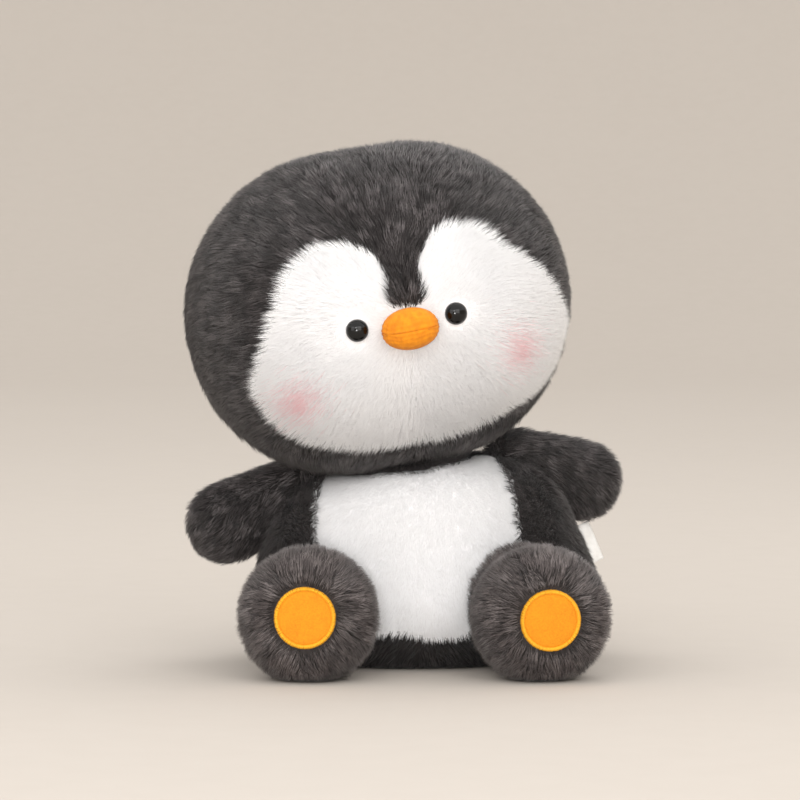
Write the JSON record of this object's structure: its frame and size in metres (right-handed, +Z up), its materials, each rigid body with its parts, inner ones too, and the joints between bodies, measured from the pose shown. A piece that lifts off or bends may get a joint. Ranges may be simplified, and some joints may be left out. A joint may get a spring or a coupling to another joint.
{
  "type": "plush penguin",
  "caption": "Sitting plush penguin with a big round head, white face and belly, orange beak, stub flippers and round feet with orange soles.",
  "frame": {"origin": "middle of the flat patch that the penguin sits on", "axes": "+Z up, the penguin faces -Y, +X is its own left"},
  "size_m": [0.235, 0.2033, 0.2819],
  "materials": {
    "dark_plush": "long charcoal faux fur, soft",
    "foot_plush": "long warm grey faux fur, soft",
    "white_plush": "white faux fur, soft",
    "beak_fleece": "brushed orange fleece",
    "pad_felt": "smooth orange felt",
    "pad_stitching": "satin stitch in bright thread",
    "eye_plastic": "polished black",
    "washer_plastic": "plain moulded",
    "stuffing": "polyester fibre fill",
    "label_satin": "blank woven satin ribbon",
    "seam_thread": "gathered fabric edges and thread"
  },
  "bodies": {
    "torso": {"belly_panel": "white_plush", "body_panel_left": "dark_plush", "body_panel_right": "dark_plush", "seat_panel": "dark_plush", "body_stuffing": "stuffing", "care_label": "label_satin"},
    "neck": {"neck_stuffing": "stuffing", "neck_seam_collar": "seam_thread"},
    "head": {"face_panel_left": "white_plush", "face_panel_right": "white_plush", "head_crown_panel": "dark_plush", "head_chin_panel": "dark_plush", "head_back_panel_left": "dark_plush", "head_back_panel_right": "dark_plush", "head_stuffing": "stuffing", "beak_upper_cover": "beak_fleece", "beak_lower_cover": "beak_fleece", "beak_stuffing": "stuffing", "eye_left": "eye_plastic", "eye_right": "eye_plastic", "eye_washer_left": "washer_plastic", "eye_washer_right": "washer_plastic"},
    "flipper_left": {"flipper_left_upper_panel": "dark_plush", "flipper_left_under_panel": "dark_plush", "flipper_left_stuffing": "stuffing"},
    "leg_left": {"leg_left_cover": "foot_plush", "leg_left_sole_panel": "foot_plush", "leg_left_stuffing": "stuffing", "sole_pad_left": "pad_felt", "sole_stitching_left": "pad_stitching"},
    "flipper_right": {"flipper_right_upper_panel": "dark_plush", "flipper_right_under_panel": "dark_plush", "flipper_right_stuffing": "stuffing"},
    "leg_right": {"leg_right_cover": "foot_plush", "leg_right_sole_panel": "foot_plush", "leg_right_stuffing": "stuffing", "sole_pad_right": "pad_felt", "sole_stitching_right": "pad_stitching"}
  },
  "joints": [
    {"name": "head_nod", "type": "hinge", "parent": "torso", "child": "neck", "pos_m": [-0.0078, -0.016, 0.103], "axis": [0.9919, 0, 0.1271], "range_deg": [-8, 8], "stiffness_Nm_per_rad": 2},
    {"name": "head_turn", "type": "hinge", "parent": "neck", "child": "head", "pos_m": [-0.0078, -0.016, 0.103], "axis": [-0.1478, -0.1034, 0.9836], "range_deg": [-25, 25], "stiffness_Nm_per_rad": 0.5},
    {"name": "flipper_left_raise", "type": "hinge", "parent": "torso", "child": "flipper_left", "pos_m": [0.05031, 0, 0.11065], "axis": [0.4695, -0.8829, 0], "range_deg": [0, 35], "stiffness_Nm_per_rad": 0.05},
    {"name": "flipper_right_raise", "type": "hinge", "parent": "torso", "child": "flipper_right", "pos_m": [-0.06674, 0, 0.09566], "axis": [-0.0872, 0.9962, 0], "range_deg": [0, 35], "stiffness_Nm_per_rad": 0.05},
    {"name": "leg_left_raise", "type": "hinge", "parent": "torso", "child": "leg_left", "pos_m": [0.052, -0.052, 0.0347], "axis": [-0.9816, -0.1908, 0], "range_deg": [0, 25], "stiffness_Nm_per_rad": 0.1},
    {"name": "leg_right_raise", "type": "hinge", "parent": "torso", "child": "leg_right", "pos_m": [-0.058, -0.052, 0.0309], "axis": [-0.9986, 0.0523, 0], "range_deg": [0, 25], "stiffness_Nm_per_rad": 0.1}
  ]
}
